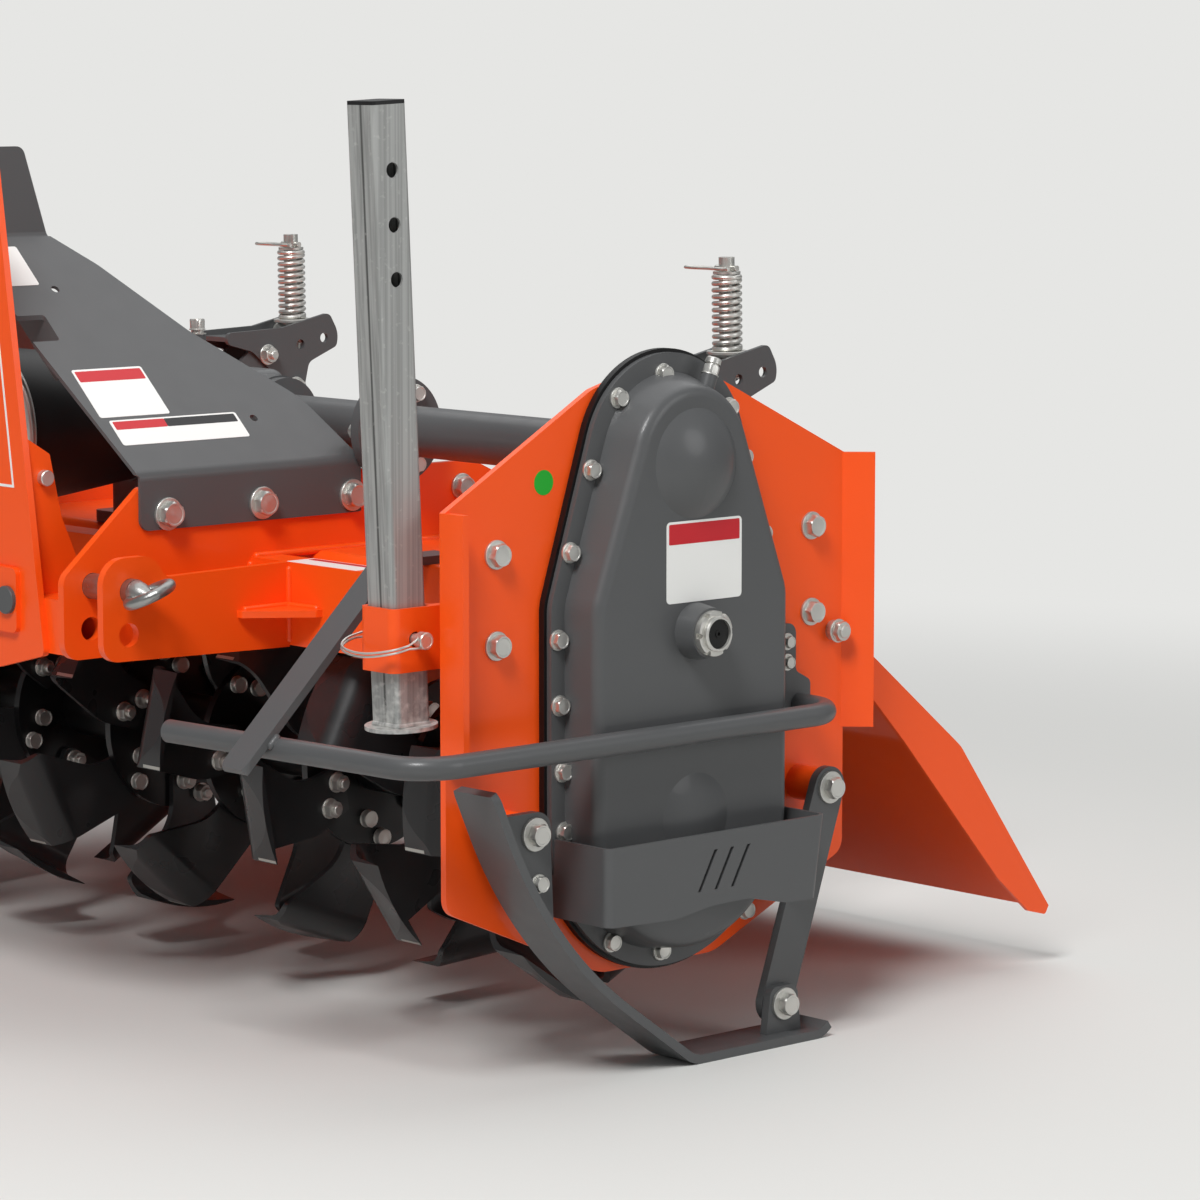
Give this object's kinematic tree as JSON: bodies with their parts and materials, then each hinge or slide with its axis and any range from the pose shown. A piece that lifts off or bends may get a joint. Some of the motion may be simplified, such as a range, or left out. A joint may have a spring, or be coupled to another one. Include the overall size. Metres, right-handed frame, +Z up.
{
  "type": "rotavator",
  "caption": "Three-point rotary tiller with a chain-driven tined rotor, hinged tailgate on spring rods, guard hoops, skids and a parking stand.",
  "frame": {"origin": "under the middle of the whole machine, at the foot of its skids", "axes": "+X across to the machine's left, where the chain case is, +Y backwards from the tractor, +Z up"},
  "size_m": [1.7205, 1.158, 1.0354],
  "materials": {
    "orange_paint": "gloss powder coat",
    "grey_paint": "satin powder coat",
    "black_paint": "gloss black paint",
    "tine_steel": "black paint worn bright at the cutting edges",
    "zinc_steel": "zinc plated",
    "bare_steel": "drawn steel tube, bare",
    "black_plastic": "moulded",
    "sealing_plate": "black gasket"
  },
  "bodies": {
    "root": {"case_backing": "sealing_plate", "chain_case": "grey_paint", "bearing_housing": "grey_paint", "front_beam": "orange_paint", "rear_beam": "orange_paint", "deck": "orange_paint", "hitch_crossbar": "orange_paint", "mast_head": "orange_paint", "gearbox": "grey_paint", "axle_tube": "grey_paint", "pto_shield": "black_plastic", "guard_ring": "zinc_steel", "case_bumper": "grey_paint", "stand_socket": "orange_paint", "end_plate_left": "orange_paint", "end_plate_right": "orange_paint", "cradle_plate_left": "orange_paint", "cradle_plate_right": "orange_paint", "clevis_plate_left": "orange_paint", "clevis_plate_right": "orange_paint", "hitch_pin_left": "zinc_steel", "hitch_pin_right": "zinc_steel", "mast_leg_left": "orange_paint", "mast_leg_right": "orange_paint", "guard_cover_left": "grey_paint", "guard_cover_right": "grey_paint", "hinge_pin_left": "zinc_steel", "hinge_pin_right": "zinc_steel", "spring_arm_left": "grey_paint", "spring_arm_right": "grey_paint", "skid_left": "grey_paint", "skid_right": "grey_paint", "skid_arm_left": "grey_paint", "skid_arm_right": "grey_paint", "guard_hoop_left": "grey_paint", "guard_hoop_right": "grey_paint"},
    "rotor": {"rotor_shaft": "black_paint", "tines_left_hand": "tine_steel", "tines_right_hand": "tine_steel"},
    "pto": {"pto_shaft": "bare_steel"},
    "tailgate": {"tailgate": "orange_paint"},
    "rod_left": {"lift_rod_left": "zinc_steel"},
    "rod_right": {"lift_rod_right": "zinc_steel"},
    "swivel_left": {"spring_swivel_left": "zinc_steel"},
    "swivel_right": {"spring_swivel_right": "zinc_steel"},
    "stand": {"stand_leg": "bare_steel", "stand_cap": "black_plastic"}
  },
  "joints": [
    {"name": "rotor_turn", "type": "hinge", "parent": "root", "child": "rotor", "pos_m": [-0.00326, -0.075, 0.266], "axis": [1, 0, 0], "continuous": true},
    {"name": "pto_turn", "type": "hinge", "parent": "root", "child": "pto", "pos_m": [-0.00326, -0.322, 0.652], "axis": [0, 1, 0], "continuous": true},
    {"name": "tailgate_lift", "type": "hinge", "parent": "root", "child": "tailgate", "pos_m": [-0.00326, 0.194, 0.439], "axis": [1, 0, 0], "range_deg": [0, 25]},
    {"name": "stand_slide", "type": "slide", "parent": "root", "child": "stand", "axis": [0, -0.0454, 0.999], "range_m": [-0.372, 0]},
    {"name": "rod_left_eye", "type": "hinge", "parent": "tailgate", "child": "rod_left", "pos_m": [0.41274, 0.373, 0.35], "axis": [1, 0, 0], "range_deg": [-20.5, 0]},
    {"name": "swivel_left_tilt", "type": "hinge", "parent": "root", "child": "swivel_left", "pos_m": [0.41274, 0.367, 0.708], "axis": [1, 0, 0], "range_deg": [0, 5.5]},
    {"name": "rod_right_eye", "type": "hinge", "parent": "tailgate", "child": "rod_right", "pos_m": [-0.41926, 0.373, 0.35], "axis": [1, 0, 0], "range_deg": [-20.5, 0]},
    {"name": "swivel_right_tilt", "type": "hinge", "parent": "root", "child": "swivel_right", "pos_m": [-0.41926, 0.367, 0.708], "axis": [1, 0, 0], "range_deg": [0, 5.5]}
  ],
  "couplings": [
    {"joint": "pto_turn", "follows": "rotor_turn", "ratio": 2.45},
    {"joint": "rod_left_eye", "follows": "tailgate_lift", "ratio": -0.799},
    {"joint": "swivel_left_tilt", "follows": "tailgate_lift", "ratio": 0.201},
    {"joint": "rod_right_eye", "follows": "tailgate_lift", "ratio": -0.799},
    {"joint": "swivel_right_tilt", "follows": "tailgate_lift", "ratio": 0.201}
  ]
}
